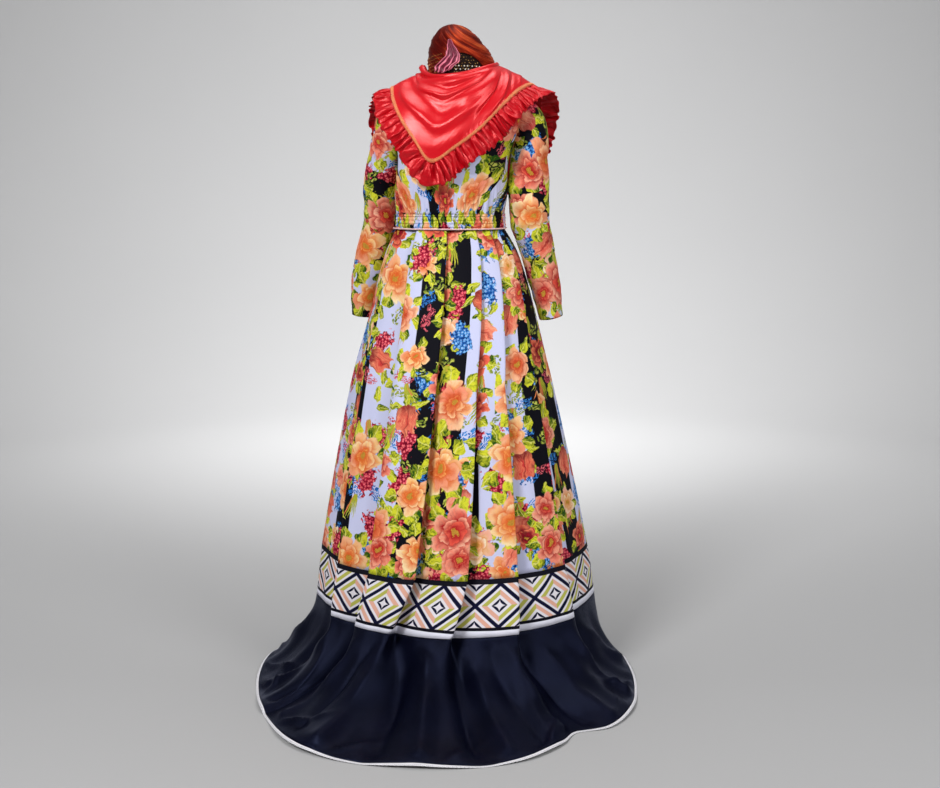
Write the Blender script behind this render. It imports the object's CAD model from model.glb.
# %% [markdown]
# # A wob dwiyet, from frame to finished costume
# The wob dwiyet is the grand Creole gown of Dominica and Saint Lucia. It is a fitted bodice with long
# sleeves over a full pleated skirt that trails on the floor behind, worn with a satin shoulder scarf,
# the foulard, and a wound head tie. This lesson takes the plain solids of the CAD frame and makes a
# finished cloth piece for each of them, in the same place and at the same size.

# %% Load the frame
import math
import bmesh
import bpy
import numpy as np
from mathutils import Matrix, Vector


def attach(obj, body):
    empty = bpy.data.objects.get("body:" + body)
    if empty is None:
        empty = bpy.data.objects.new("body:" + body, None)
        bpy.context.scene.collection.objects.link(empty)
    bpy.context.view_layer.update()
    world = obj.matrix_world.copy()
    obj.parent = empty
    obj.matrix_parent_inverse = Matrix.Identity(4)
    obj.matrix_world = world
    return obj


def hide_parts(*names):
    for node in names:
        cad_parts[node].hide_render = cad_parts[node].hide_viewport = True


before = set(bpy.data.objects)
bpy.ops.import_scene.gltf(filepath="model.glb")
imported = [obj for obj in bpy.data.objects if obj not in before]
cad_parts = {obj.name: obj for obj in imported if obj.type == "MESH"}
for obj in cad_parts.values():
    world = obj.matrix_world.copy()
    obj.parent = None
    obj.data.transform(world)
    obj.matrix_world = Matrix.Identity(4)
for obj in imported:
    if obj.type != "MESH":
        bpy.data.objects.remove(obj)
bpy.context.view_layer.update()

print("nodes in the frame:", len(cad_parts))

# %% [markdown]
# Cloth is easiest to shape as a grid of points: rows run down the cloth and columns run across it.
# Every form here comes from a short table of sections, and a smooth curve through a table gives the
# sizes in between. Sizes are in millimetres above the floor, as a maker measures a wearer, and are
# turned into metres from the shoulders only when the mesh is made.

# %% Tables of sections, and points on them
MM = 0.001
SHOULDER = 1340.0  # the frame's origin, above the floor
WAIST, BORDER_TOP, BORDER_FOOT, SHIRRING_TOP = 1050.0, 290.0, 165.0, 1082.0


def table(names, *rows):
    """Named columns, in rising order of the first."""
    rows = sorted(rows, key=lambda row: row[0])
    return {name: np.array([row[i] for row in rows], float) for i, name in enumerate(names.split())}


def curve_through(keys, values, at):
    """Values of a smooth curve through the points (keys, values)."""
    at = np.clip(np.asarray(at, float), keys[0], keys[-1])
    i = np.clip(np.searchsorted(keys, at, side="right") - 1, 0, len(keys) - 2)
    step = keys[i + 1] - keys[i]
    t = (at - keys[i]) / step
    n = np.arange(len(keys))
    before, after = np.maximum(n - 1, 0), np.minimum(n + 1, len(keys) - 1)
    slope = (values[after] - values[before]) / (keys[after] - keys[before])
    return (
        (2 * t**3 - 3 * t**2 + 1) * values[i]
        + (t**3 - 2 * t**2 + t) * slope[i] * step
        + (3 * t**2 - 2 * t**3) * values[i + 1]
        + (t**3 - t**2) * slope[i + 1] * step
    )


def look_up(sections, name, at):
    return curve_through(next(iter(sections.values())), sections[name], at)


def lerp(a, b, t):
    return a + (b - a) * t


def ease(t):
    t = np.clip(t, 0, 1)
    return t * t * (3 - 2 * t)


def unit(v):
    return v / np.maximum(np.linalg.norm(v, axis=-1, keepdims=True), 1e-9)


def points(x, y, z):
    return np.stack(np.broadcast_arrays(x, y, z), axis=-1).astype(float)


def grid_normals(grid, wraps=False):
    """The way each point of a cloth grid faces, from its neighbours across and along."""
    if wraps:
        across = np.roll(grid, -1, axis=1) - np.roll(grid, 1, axis=1)
    else:
        across = np.gradient(grid, axis=1)
    return unit(np.cross(across, np.gradient(grid, axis=0)))


def walk(line):
    """Distance walked from a line's first point to each of its points, in the line's own unit."""
    return np.concatenate([[0], np.cumsum(np.linalg.norm(np.diff(line, axis=0), axis=1))])


def places_at(at, walked, values):
    """Values at other distances along a line."""
    return np.stack([np.interp(at, walked, values[:, i]) for i in range(3)], axis=1)


def lengths_along(grid, axis):
    """Distance walked along the grid from its first row or column, in metres."""
    steps = np.linalg.norm(np.diff(grid, axis=axis), axis=-1)
    zero = np.zeros_like(np.take(steps, [0], axis=axis))
    return np.concatenate([zero, np.cumsum(steps, axis=axis)], axis=axis) * MM


# %% [markdown]
# A grid becomes a mesh of four-sided faces. The mesh also gets a UV map that holds metres of flat
# cloth, not shares of a picture, so a print keeps its true scale on every piece, as it does when a
# maker cuts all of them from one bolt. A Solidify modifier gives the sheet its thickness.

# %% Make a cloth mesh from a grid
def add_object(name, spots, faces, material):
    """A smooth mesh with one material, in the scene. Its points are in metres from the shoulders."""
    mesh = bpy.data.meshes.new(name)
    mesh.from_pydata(spots, [], faces)
    mesh.materials.append(material)
    mesh.polygons.foreach_set("use_smooth", [True] * len(mesh.polygons))
    piece = bpy.data.objects.new(name, mesh)
    bpy.context.scene.collection.objects.link(piece)
    return piece


def remove_loose(piece):
    """Drops the points that no face uses any more."""
    work = bmesh.new()
    work.from_mesh(piece.data)
    bmesh.ops.delete(work, geom=[v for v in work.verts if not v.link_faces], context="VERTS")
    work.to_mesh(piece.data)
    work.free()


def cloth(name, grid, uv, material, thick=1.0, wraps=False, keep=None):
    rows, cols = grid.shape[:2]
    spots = grid.reshape(-1, 3) * MM - np.array([0, 0, SHOULDER * MM])
    last = cols if wraps else cols - 1
    i, j = [a.ravel() for a in np.meshgrid(np.arange(rows - 1), np.arange(last), indexing="ij")]
    k = (j + 1) % cols
    quads = np.stack([i * cols + j, i * cols + k, (i + 1) * cols + k, (i + 1) * cols + j], axis=1)
    corners = np.stack([uv[i, j], uv[i, j + 1], uv[i + 1, j + 1], uv[i + 1, j]], axis=1)
    if keep is not None:
        kept = keep(spots[quads])
        quads, corners = quads[kept], corners[kept]
    piece = add_object(name, spots.tolist(), quads.tolist(), material)
    layer = piece.data.uv_layers.new(name="cloth")
    layer.data.foreach_set("uv", corners.reshape(-1).astype(np.float32))
    piece.data.update()
    if keep is not None:
        remove_loose(piece)
    if thick:
        shell = piece.modifiers.new("thickness", "SOLIDIFY")
        shell.thickness, shell.offset, shell.use_rim = thick * MM, 0.0, True
    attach(piece, "root")
    print(f"{name}: {rows} rows x {cols} columns, {len(quads)} faces")
    return piece


def flat_uv(grid, down=None):
    """Metres of cloth across and down a plain grid."""
    return np.stack([lengths_along(grid, 1), lengths_along(grid, 0) if down is None else down], axis=-1)


def wrapped_uv(grid):
    """The same for a tube: one more column, where the first comes round again."""
    return flat_uv(np.concatenate([grid, grid[:, :1]], axis=1))


# %% [markdown]
# ## The skirt
# A wob dwiyet skirt is knife pleated: at each pleat the cloth folds back under itself and forward
# again, so that one flat panel lies over the next. I could lay flat panels and let the cloth solver
# fold them, but pressed pleats have an order that a solver loses. So the fold is drawn as six places
# across each pleat, at every level, and the cloth follows a smooth line through them.

# %% The skirt's cone, hem and pleats
skirt_sections = table(
    "height half_width back front centre",
    (1050, 121, 90, 90, -26),
    (1000, 146, 112, 106, -23),
    (950, 162, 132, 122, -22),
    (900, 174, 152, 138, -21),
    (830, 190, 178, 160, -21),
    (700, 222, 218, 196, -22),
    (490, 264, 268, 244, -20),
    (290, 300, 308, 280, -18),
    (165, 316, 332, 298, -16),
)
hem_reach = table(
    "angle reach",
    (-180, 345), (-120, 385), (-92, 446), (-64, 504), (-47, 556), (-30, 622), (-9, 626), (13, 608),
    (24, 562), (30, 524), (38, 544), (47, 526), (62, 474), (85, 412), (120, 365), (180, 345),
)
back_pleats = [  # lies, then its angle at waist, thigh, border and hem
    (-1, -71, -60, -56, -58),
    (-1, -36, -34, -36, -42),
    (1, -3, -8, -15, -24),
    (1, 28, 14, 6, 0),
    (1, 46, 31, 27, 26),
    (1, 68, 54, 53, 56),
]
FRONT_PLEATS = 6
pleats = list(back_pleats)
for k in range(FRONT_PLEATS):
    share = (k + 1) / (FRONT_PLEATS + 1)
    pleats.append(
        (1 if k < FRONT_PLEATS / 2 else -1,)
        + tuple(lerp(back_pleats[-1][n], back_pleats[0][n] + 360, share) for n in range(1, 5))
    )
pleat_form = table(
    "level depth lap turn closed",
    (1050, 5.4, 17, 2.4, 1),
    (900, 10, 20, 3, 1),
    (700, 15, 24, 4, 1),
    (290, 22, 26, 5, 1),
    (165, 24, 22, 6, 0.85),
    (110, 20, 12, 5, 0.35),
    (60, 13, 8, 4, 0),
    (0, 5, 6, 3, 0),
)
CLOTH = 1.6  # thickness of the gown's solids
print("pleats:", len(pleats))


# %% A point of the skirt at a level and an angle
def skirt_base(level, angle):
    """On the cone of the hanging skirt, or below the border on the hem that runs out over the floor."""
    angle = np.asarray(angle, float)
    turn = np.radians(angle)
    hanging = max(level, BORDER_FOOT)
    size = {name: look_up(skirt_sections, name, hanging) for name in ("half_width", "back", "front", "centre")}
    depth = lerp(size["front"], size["back"], ease(0.5 + 0.9 * np.cos(turn)))
    top = points(size["centre"] + size["half_width"] * np.sin(turn), -depth * np.cos(turn), hanging)
    if level >= BORDER_FOOT:
        return top
    w = 1 - level / BORDER_FOOT
    reach = look_up(hem_reach, "reach", (angle + 180) % 360 - 180)
    foot_x, foot_y = size["centre"] + reach * np.sin(turn), -reach * np.cos(turn)
    rest = CLOTH / 2 + 0.3 + look_up(pleat_form, "depth", level) * ease(1.4 * w)
    share = [c * (1 - w) ** (3 - k) * w**k for k, c in enumerate((1, 3, 3, 1))]
    out = sum(s * knot for s, knot in zip(share, (0, 0.09, 0.42, 1)))
    up = sum(s * knot for s, knot in zip(share, (1, 0.5, 0.05, 0)))
    return points(lerp(top[..., 0], foot_x, out), lerp(top[..., 1], foot_y, out), up * BORDER_FOOT + rest)


def skirt_point(level, angle, out):
    across = skirt_base(level, angle + 0.5) - skirt_base(level, angle - 0.5)
    step = min(4, level / 2 + 0.5)
    down = skirt_base(max(0, level - step), angle) - skirt_base(min(WAIST, level + step), angle)
    spot = skirt_base(level, angle) + unit(np.cross(down, across)) * np.asarray(out)[..., None]
    spot[..., 2] = np.maximum(spot[..., 2], CLOTH / 2 + 0.2)
    return spot


def pleat_angle(pleat, level):
    return float(np.interp(-level, [-1050, -700, -290, -165, 0], [*pleat[1:], pleat[4]]))


def pleat_places(pleat, level):
    """Six places [angle, out] from a pleat's left to its right: folded high up, an open wave low down."""
    form = {name: float(look_up(pleat_form, name, level)) for name in ("depth", "lap", "turn", "closed")}
    depth, lap, turn = form["depth"], form["lap"], form["turn"]
    closed = min(1, max(0, form["closed"]))
    x, y = skirt_base(level, 0.0)[:2]
    degree = math.radians(1) * math.hypot(x, y) * (0.5 + 0.5 * min(1, level / BORDER_FOOT)) + 0.5
    lap_angle, turn_angle = lap / degree, turn / degree
    folded = [
        (-turn_angle, depth), (0, depth - turn * 0.9), (-turn_angle, depth - 2 * turn),
        (turn_angle - lap_angle, 2 * turn - depth), (-lap_angle, turn * 0.9 - depth),
        (turn_angle - lap_angle, -depth),
    ]
    limit = max(1, 2 * turn / depth)
    places = []
    for k, (angle, out) in enumerate(folded):
        t = -1 + 2 * k / 5
        wave = (7 * t, -depth * math.sin(math.pi / 2 * t))
        places.append((lerp(wave[0], angle, closed), lerp(wave[1], out / limit, closed)))
    if pleat[0] < 0:
        places = [(-angle, out) for angle, out in reversed(places)]
    centre = pleat_angle(pleat, level)
    return [(centre + angle, out) for angle, out in places]


# %% The line of the cloth round the skirt, and where the print falls on it
FACE_STEPS, FINE = 4, 4  # places on a flat panel, and points between two places
PER_PLEAT = 5 + FACE_STEPS
PITCH = 0.207  # metres of cloth from one panel's middle to the next


def smooth_ring(values, span=0.0):
    """Points between the places, on a curve through all of them that closes on itself."""
    after = np.roll(values, -1)
    after[-1] += span
    before = np.roll(values, 1)
    before[0] -= span
    beyond = np.roll(values, -2)
    beyond[-2:] += span
    found = []
    for step in range(FINE):
        t = step / FINE
        found.append(
            0.5 * (2 * values + (after - before) * t + (2 * before - 5 * values + 4 * after - beyond) * t**2
                   + (3 * values - before - 3 * after + beyond) * t**3)
        )
    return np.stack(found, axis=1).ravel()


def skirt_row(level):
    angles, outs = [], []
    depth = float(look_up(pleat_form, "depth", level))
    edges = [pleat_places(pleat, level) for pleat in pleats]
    for k, edge in enumerate(edges):
        following = edges[(k + 1) % len(edges)][0]
        following = (following[0] + (360 if k == len(edges) - 1 else 0), following[1])
        angles += [a for a, _ in edge]
        outs += [o for _, o in edge]
        for i in range(1, FACE_STEPS):
            t = i / FACE_STEPS
            angles.append(lerp(edge[5][0], following[0], t))
            outs.append(lerp(edge[5][1], following[1], t) + 0.12 * depth * math.sin(math.pi * t))
    return smooth_ring(np.array(angles), 360), smooth_ring(np.array(outs))


def cloth_across(row):
    """Metres of cloth across a row, so that threads run straight down the middle of each panel. What
    the narrowing takes up is hidden in the folds."""
    steps = np.linalg.norm(np.diff(np.vstack([row, row[:1]]), axis=0), axis=1) * MM
    walked = np.concatenate([[0], np.cumsum(steps)])
    count = len(row)
    across = np.full(count + 1, np.nan)
    marks = []
    for k, pleat in enumerate(pleats):
        start = k * PER_PLEAT * FINE
        last, first = (1, 5) if pleat[0] > 0 else (0, 4)
        marks.append((start + last * FINE, start + first * FINE))
    whole = walked[-1]
    for k in range(len(pleats)):
        begin = marks[k][1]
        end = marks[(k + 1) % len(pleats)][0] + (count if k == len(pleats) - 1 else 0)
        run = np.arange(begin, end + 1)
        at = walked[run % count] + whole * (run // count)
        middle = (at[0] + at[-1]) / 2
        across[np.where(run <= count, run, run - count)] = np.where(
            run <= count, k * PITCH + at - middle, (k - len(pleats)) * PITCH + at - middle
        )
    across[count] = np.nan
    known = np.flatnonzero(~np.isnan(across))
    across = np.interp(np.arange(count + 1), known, across[known])
    across[count] = across[0] + len(pleats) * PITCH
    gap = np.arange(known[-1] + 1, count)
    across[gap] = np.interp(gap, [known[-1], count], [across[known[-1]], across[count]])
    return across


print("columns round the skirt:", len(pleats) * PER_PLEAT * FINE)

# %% [markdown]
# Pressed cloth is never quite flat between its pleats. Each panel gets a few long, shallow waves of
# its own, deeper towards the border, and where the hem runs out over the floor the waves turn into
# soft ridges and hollows. They are sums of sines with uneven lengths, which never repeat exactly and
# always come out the same.

# %% Soft unevenness of the hanging cloth
train_folds = [  # angle at the border and at the hem, top and foot level, width in mm, height in mm
    (-52, -66, 165, 4, 22, 15), (-44, -53, 160, 6, 14, -9), (-37, -43, 165, 4, 24, 15), (-30, -35, 160, 10, 14, -9),
    (-25, -28, 165, 2, 26, 16), (-17, -15, 150, 6, 16, -11), (-10, -6, 165, 2, 26, 17), (-2, 5, 150, 12, 14, -10),
    (6, 12, 165, 2, 20, 14), (13, 21, 165, 2, 18, -10), (20, 27, 165, 3, 24, 16), (29, 35, 150, 6, 14, -10),
    (36, 42, 165, 3, 26, 15), (50, 58, 160, 4, 20, 13), (68, 80, 150, 10, 26, 12), (-80, -92, 150, 10, 26, 12),
    (-60, -80, 80, 2, 16, 10), (-26, -42, 52, 3, 13, 10), (-12, -25, 44, 2, 11, 8), (34, 20, 50, 2, 12, 9),
    (46, 66, 70, 3, 15, 10), (10, -2, 40, 2, 11, 8), (60, 40, 40, 3, 10, 7), (-70, -58, 50, 3, 10, 8),
    (100, 112, 140, 6, 26, 10), (-110, -124, 140, 6, 26, 10), (150, 160, 130, 6, 24, 9), (-160, -168, 130, 6, 24, 9),
]


def soft_waves(level, angle):
    hang = ease((WAIST - level) / 500)
    floor = ease((BORDER_FOOT + 40 - level) / 120)
    angle = np.asarray(angle, float)
    a = np.radians(angle)
    slow = level / 210.0
    hanging = (
        1.3 * np.sin(17 * a + 0.9 * slow + 0.5)
        + 0.9 * np.sin(29 * a - 1.3 * slow + 2.1)
        + 0.6 * np.sin(43 * a + 1.7 * slow)
    )
    lying = (
        2.0 * np.sin(31 * a + 1.2 * np.sin(3 * a) + level / 60 + 0.4)
        + 1.6 * np.sin(19 * a + 0.6 - level / 45)
        + 1.2 * np.sin(47 * a + level / 38 + 1.5 * np.sin(5 * a))
        + 1.6 * np.sin(9 * a + level / 21) * np.sin(13 * a + 2)
    )
    reach = 330 + 260 * ease(1 - level / BORDER_FOOT)
    for high, low, top, foot, width, height in train_folds:
        t = np.clip((top - level) / (top - foot), 0, 1)
        off = ((angle - lerp(high, low, t) + 180) % 360 - 180) * math.radians(1) * reach / width
        ends = ease((top - level) / 40) * ease((level - foot) / 14 + 0.25)
        lying = lying + height * ends * np.exp(-(np.abs(off) ** 1.3)) * (1 + 0.25 * np.sin(level / 11 + high))
    return hang * (1 - floor) * hanging + floor * lying * ease(level / 10 + 0.12)


def skirt_rows(levels, raise_out=0.0):
    grid, across = [], []
    for level in levels:
        angle, out = skirt_row(level)
        row = skirt_point(level, angle, out + soft_waves(level, angle) + raise_out)
        grid.append(row)
        across.append(cloth_across(row))
    return np.array(grid), np.array(across)


def level_steps(top, foot, step):
    return np.linspace(top, foot, int(round((top - foot) / step)) + 1)


skirt_levels = level_steps(WAIST - 0.3, BORDER_TOP + 0.2, 12)
border_levels = level_steps(BORDER_TOP, BORDER_FOOT + 0.2, 10)
hem_levels = np.concatenate([level_steps(BORDER_FOOT, 45, 5.5)[:-1], level_steps(45, 1, 2.4)])
print("rows:", len(skirt_levels), len(border_levels), len(hem_levels))

# %% [markdown]
# ## Colour and finish
# Each finish is a small node graph on a Principled shader. A helper class keeps the graphs readable:
# it adds a node, joins its inputs and gives back the socket. The print is worked out from the cloth's
# own UV map in metres, so nothing depends on the camera or on an image.

# %% A short hand for shader nodes
SOCKETS = {
    "gloss": "Specular IOR Level", "gloss_tint": "Specular Tint", "metal": "Metallic", "sheen": "Sheen Weight",
    "sheen_rough": "Sheen Roughness", "sheen_tint": "Sheen Tint", "lying": "Anisotropic",
}


ARITHMETIC = {
    "add": "ADD", "sub": "SUBTRACT", "mul": "MULTIPLY", "div": "DIVIDE", "madd": "MULTIPLY_ADD", "pow": "POWER",
    "min": "MINIMUM", "max": "MAXIMUM", "abs": "ABSOLUTE", "less": "LESS_THAN", "more": "GREATER_THAN",
    "floor": "FLOOR", "fract": "FRACT", "wrap": "WRAP", "sin": "SINE", "cos": "COSINE", "arctan2": "ARCTAN2",
}


class Graph:
    def __init__(self, tree):
        self.tree = tree

    def node(self, kind, *values, out=0, **settings):
        n = self.tree.nodes.new(kind)
        for key, value in settings.items():
            setattr(n, key, value)
        for i, value in enumerate(values):
            if value is not None:
                self.give(n.inputs[i], value)
        return n.outputs[out]

    def give(self, socket, value):
        if isinstance(value, bpy.types.NodeSocket):
            self.tree.links.new(value, socket)
        elif isinstance(value, (tuple, list)) and len(value) == 3 and socket.type == "RGBA":
            socket.default_value = (*value, 1)
        else:
            socket.default_value = value

    def __getattr__(self, short):
        """g.add(a, b), g.mul(a, b), g.madd(a, b, c) for a * b + c, and so on, each one Math node."""
        kind = ARITHMETIC[short]
        return lambda *values, clamp=False: self.node("ShaderNodeMath", *values, operation=kind, use_clamp=clamp)

    def vector(self, operation, *values, out=0):
        return self.node("ShaderNodeVectorMath", *values, operation=operation, out=out)

    def mix(self, share, a, b, blend="MIX"):
        n = self.tree.nodes.new("ShaderNodeMix")
        n.data_type, n.blend_type = "RGBA", blend
        for i, value in ((0, share), (6, a), (7, b)):
            self.give(n.inputs[i], value)
        return n.outputs[2]

    def split(self, vector):
        n = self.tree.nodes.new("ShaderNodeSeparateXYZ")
        self.give(n.inputs[0], vector)
        return n.outputs[0], n.outputs[1]

    def split_color(self, color):
        n = self.tree.nodes.new("ShaderNodeSeparateColor")
        self.give(n.inputs[0], color)
        return n.outputs[0], n.outputs[1], n.outputs[2]

    def turned(self, place, angle):
        """A place turned about the cloth's facing."""
        return self.node("ShaderNodeVectorRotate", place, (0, 0, 0), (0, 0, 1), angle)

    def join(self, x, y, z=0.0):
        return self.node("ShaderNodeCombineXYZ", x, y, z)

    def uv(self):
        return self.node("ShaderNodeUVMap", uv_map="cloth")

    def noise(self, place, scale, detail=2.0, rough=0.5):
        n = self.tree.nodes.new("ShaderNodeTexNoise")
        n.noise_dimensions = "3D"
        for name, value in (("Vector", place), ("Scale", scale), ("Detail", detail), ("Roughness", rough)):
            self.give(n.inputs[name], value)
        return n.outputs[0]

    def noise_color(self, place, scale, detail=2.0):
        n = self.tree.nodes.new("ShaderNodeTexNoise")
        for name, value in (("Vector", place), ("Scale", scale), ("Detail", detail)):
            self.give(n.inputs[name], value)
        return n.outputs[1]

    def cells(self, place, size, jitter=0.8):
        """Random places about size apart: distance to the nearest, its colour and its place."""
        n = self.tree.nodes.new("ShaderNodeTexVoronoi")
        n.voronoi_dimensions = "2D"
        self.give(n.inputs["Vector"], place)
        self.give(n.inputs["Scale"], 1 / size)
        self.give(n.inputs["Randomness"], jitter)
        return n.outputs["Distance"], n.outputs["Color"], n.outputs["Position"]

    def edge(self, inside, softness):
        """1 where inside is above 0, and a soft step to 0."""
        return self.add(self.div(inside, softness), 0.5, clamp=True)


def new_finish(name, rough=0.7, **sockets):
    """A Principled material; the values that are the same all over go on the shader itself."""
    material = bpy.data.materials.new(name)
    material.use_nodes = True
    shader = material.node_tree.nodes["Principled BSDF"]
    shader.inputs["Roughness"].default_value = rough
    for key, value in sockets.items():
        shader.inputs[SOCKETS[key]].default_value = value
    return material, Graph(material.node_tree), shader


def weave_height(g, place, thread):
    """Over and under threads of a plain weave, thread metres apart."""
    x, y = g.split(place)
    wave = lambda c: g.sin(g.mul(c, math.pi / thread))
    return g.mul(wave(x), wave(y))


def bump(g, shader, height, distance, strength=1.0):
    n = g.tree.nodes.new("ShaderNodeBump")
    n.inputs["Distance"].default_value = distance
    n.inputs["Strength"].default_value = strength
    g.tree.links.new(height, n.inputs["Height"])
    g.tree.links.new(n.outputs[0], shader.inputs["Normal"])


# %% [markdown]
# ### The floral print
# The cotton has lavender-white and black stripes, with peonies, tulips, lilac heads, blades, leaves
# and sprays strewn over them. Each kind of motif is one layer: a cell texture scatters centres, and round each
# centre the flower is drawn in polar coordinates, petal by petal. Every petal has its own length and
# tone, and a warp bends the outlines as a brush does. The layout and every motif are generic, and come
# from these sums alone. Cycles has room for only a few hundred values at a time, so each layer's place
# leans on the layer below by a billionth: they are then worked out one after another.

# %% Scattered centres and petals
def scattered(g, place, size, shift, jitter=0.75, warp=0.030):
    """Each centre's own coordinates, in metres and bent a little, and three random numbers for it."""
    moved = g.vector("ADD", place, (*shift, 0))
    _, color, centre = g.cells(moved, size, jitter)
    local = g.vector("SUBTRACT", moved, centre)
    aside, up, _ = g.split_color(g.noise_color(moved, 42, 3.5))
    bend = g.join(g.sub(aside, 0.5), g.sub(up, 0.5))
    return g.vector("MULTIPLY_ADD", bend, (warp, warp, 0), local), *g.split_color(color)


def polar(g, local, radius, spin):
    x, y = g.split(local)
    far = g.div(g.vector("LENGTH", g.join(x, y), out=1), radius)
    turn = g.madd(g.arctan2(y, x), 1 / math.tau, g.mul(spin, 3.0))
    return far, turn


def lay(g, below, color, mask):
    return g.mix(mask, below, color)


def palette(g, share, first, second):
    """Dark, middle and light tones somewhere between two sets."""
    return [g.mix(share, a, b) for a, b in zip(first, second)]


def whorl(g, below, far, turn, seed, colors, count, reach, there, notch=0.30, shadow=0.5):
    """A ring of petals: each with its own length and tone, streaked, dark at its root and its sides."""
    dark, mid, light = colors
    at = g.mul(turn, count)
    petal = g.floor(at)
    side = g.abs(g.madd(g.fract(at), 2.0, -1.0))
    own = g.node("ShaderNodeTexWhiteNoise", g.join(g.wrap(petal, count, 0.0), seed), noise_dimensions="2D")
    rim = g.madd(g.pow(side, 2.2), -notch, g.madd(own, 0.34, 0.80))
    rim = g.mul(rim, reach)
    t = g.div(far, rim)
    streak = g.noise(g.join(g.mul(at, 2.6), g.mul(far, 0.8), seed), 3.0, 4, 0.7)
    wash = g.noise(g.join(turn, g.mul(far, 0.6), g.add(seed, 3.0)), 2.2, 2)
    tone = g.madd(streak, 2.2, g.madd(t, 0.85, g.madd(own, 0.4, -1.55)), clamp=True)
    body = g.mix(tone, mid, light)
    blush = g.edge(g.sub(g.madd(own, 0.30, wash), 0.76), 0.30)
    body = g.mix(g.mul(blush, 0.6), body, (0.86, 0.07, 0.05))
    root = g.sub(g.madd(streak, 1.0, 0.12), t)
    body = g.mix(g.edge(root, 0.5), body, dark)
    body = g.mix(g.mul(g.pow(side, 6.0), g.madd(wash, 0.9, 0.2)), body, dark)
    if shadow:
        cast = g.edge(g.sub(g.add(rim, 0.09), far), 0.20)
        below = lay(g, below, dark, g.mul(g.mul(cast, shadow), there))
    mask = g.edge(g.sub(1.0, t), 0.06)
    return lay(g, below, body, g.mul(mask, there))


# %% Leaves
def leaf_ring(g, below, far, turn, seed, count, start, finish, there, wide=0.36):
    """Pointed leaves that stand out all round a centre, some of them missing."""
    at = g.mul(turn, count)
    own = g.node("ShaderNodeTexWhiteNoise", g.join(g.wrap(g.floor(at), count, 0.0), seed), noise_dimensions="2D")
    aside = g.mul(g.sub(g.fract(at), 0.5), 6.283 / count)
    aside = g.mul(aside, far)
    middle, half = (start + finish) / 2, (finish - start) / 2
    along = g.div(g.sub(far, g.madd(own, 0.2, middle - 0.1)), half)
    bow = g.mul(g.sub(1.0, g.mul(along, along)), g.madd(along, -0.25, 1.0))
    off = g.abs(aside)
    leaf = g.edge(g.sub(g.mul(bow, wide), off), 0.03)
    leaf = g.mul(leaf, g.more(own, 0.22))
    ribs = g.sin(g.madd(off, 42, g.mul(far, -30)))
    lit = g.madd(ribs, 0.16, g.madd(own, 0.5, g.madd(aside, 1.6, 0.3)), clamp=True)
    brushed = g.noise(g.join(g.mul(turn, 14.0), far, seed), 4.0, 3, 0.65)
    lit = g.add(lit, g.madd(brushed, 3.0, -1.55), clamp=True)
    green = g.mix(lit, (0.020, 0.085, 0.006), (0.70, 0.70, 0.035))
    green = g.mix(g.mul(g.edge(g.sub(0.025, off), 0.03), 0.75), green, (0.80, 0.78, 0.22))
    return lay(g, below, green, g.mul(leaf, there))


def blades(g, below, place, size, shift, chance, radius):
    """Tall pointed blades that fan up from one foot, in lime, gold and crimson."""
    local, a, b, c = scattered(g, place, size, shift, 0.7, 0.012)
    there = g.less(c, chance)
    turned = g.turned(local, g.madd(a, 1.2, -0.6))
    x, y = g.split(turned)
    up = g.add(g.div(y, radius), 1.0)
    fan = g.div(x, g.madd(up, radius * 0.30, radius * 0.12))
    at = g.mul(fan, 3.2)
    own = g.node("ShaderNodeTexWhiteNoise", g.join(g.floor(at), b), noise_dimensions="2D")
    middle = g.abs(g.madd(g.fract(at), 2.0, -1.0))
    height = g.madd(own, 0.9, g.madd(g.abs(fan), -0.35, 1.25))
    tip = g.mul(g.div(up, height), g.div(up, height))
    blade = g.sub(g.sub(1.0, tip), g.mul(middle, 0.9))
    inside = g.min(blade, g.min(up, g.sub(1.0, g.abs(fan))))
    tone = g.noise(g.join(g.mul(at, 2.0), up, b), 3.0, 3, 0.6)
    color = g.mix(g.madd(tone, 2.2, -0.6, clamp=True), (0.10, 0.20, 0.01), (0.74, 0.66, 0.06))
    color = g.mix(g.more(own, 0.62), color, g.mix(tone, (0.42, 0.01, 0.02), (0.95, 0.42, 0.12)))
    return lay(g, below, color, g.mul(g.edge(inside, 0.06), there))


def leaves(g, below, place, size, shift, chance, radius):
    local, a, b, c = scattered(g, place, size, shift)
    far, turn = polar(g, local, radius, a)
    return leaf_ring(g, below, far, turn, b, 4, 0.08, 1.0, g.less(c, chance), 0.22)


# %% Flowers
def peony(g, below, place, size, shift, first, second, chance, radius):
    """A full flower: leaves behind it, three whorls of petals and a tuft of stamens."""
    local, a, b, c = scattered(g, place, size, shift)
    reach = g.madd(b, radius * 0.30, radius * 0.82)
    far, turn = polar(g, local, reach, a)
    there = g.less(c, chance)
    colors = palette(g, g.madd(a, 3.0, -1.0, clamp=True), first, second)
    dark, mid, light = colors
    below = leaf_ring(g, below, far, turn, b, 7, 0.75, 1.55, there)
    below = whorl(g, below, far, turn, a, (dark, mid, light), 6, 1.0, there, 0.34, 0.0)
    inner = g.add(turn, 0.09)
    below = whorl(g, below, far, inner, b, (dark, mid, light), 5, 0.66, there, 0.30, 0.45)
    below = whorl(g, below, far, g.add(turn, 0.17), c, (dark, dark, mid), 4, 0.36, there, 0.25, 0.6)
    tuft = g.noise(local, 420, 2)
    core = g.edge(g.sub(g.madd(tuft, 0.22, 0.03), far), 0.04)
    return lay(g, below, g.mix(tuft, (0.10, 0.005, 0.02), (0.95, 0.52, 0.05)), g.mul(core, there))


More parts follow.
